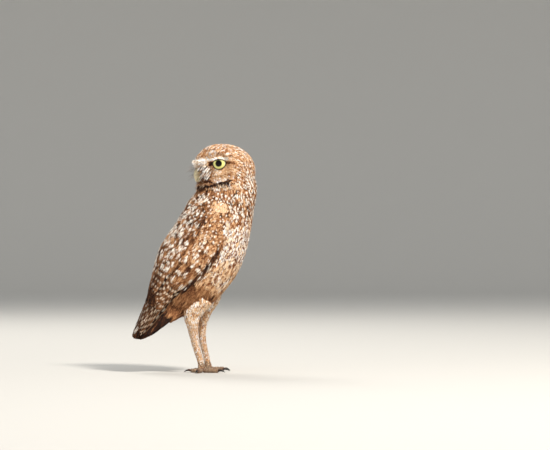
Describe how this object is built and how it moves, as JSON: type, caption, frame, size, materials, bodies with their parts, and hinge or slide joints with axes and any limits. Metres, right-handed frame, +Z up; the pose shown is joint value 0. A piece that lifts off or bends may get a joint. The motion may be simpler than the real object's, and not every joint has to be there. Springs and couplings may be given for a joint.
{
  "type": "burrowing owl model",
  "caption": "Life-size still model of a small long-legged ground owl, standing upright with its wings folded and its head turned to look back.",
  "frame": {"origin": "on the floor, under the middle of the owl's bounding box", "axes": "+Z up, +X the way the breast faces, +Y the owl's left side"},
  "size_m": [0.1297, 0.0868, 0.237],
  "materials": {
    "plumage": "soft body feathers, brown with white and buff spots",
    "wing_plumage": "flight feathers and coverts, brown with white spots and bars",
    "leg_down": "short whitish down",
    "toe_skin": "grey-brown scaly skin",
    "claw_horn": "dark polished horn",
    "bill_horn": "pale greenish horn",
    "eye": "clear glass over a pale yellow iris and a black pupil"
  },
  "bodies": {
    "root": {"head": "plumage", "neck": "plumage", "trunk": "plumage", "tail": "wing_plumage", "wing_left": "wing_plumage", "wing_right": "wing_plumage", "thigh_left": "leg_down", "thigh_right": "leg_down", "shank_left": "leg_down", "shank_right": "leg_down", "foot_left": "toe_skin", "foot_right": "toe_skin", "claw_inner_left": "claw_horn", "claw_middle_left": "claw_horn", "claw_outer_left": "claw_horn", "claw_hind_left": "claw_horn", "claw_inner_right": "claw_horn", "claw_middle_right": "claw_horn", "claw_outer_right": "claw_horn", "claw_hind_right": "claw_horn", "eye_left": "eye", "eye_right": "eye", "bill_upper": "bill_horn", "bill_lower": "bill_horn"}
  },
  "joints": []
}
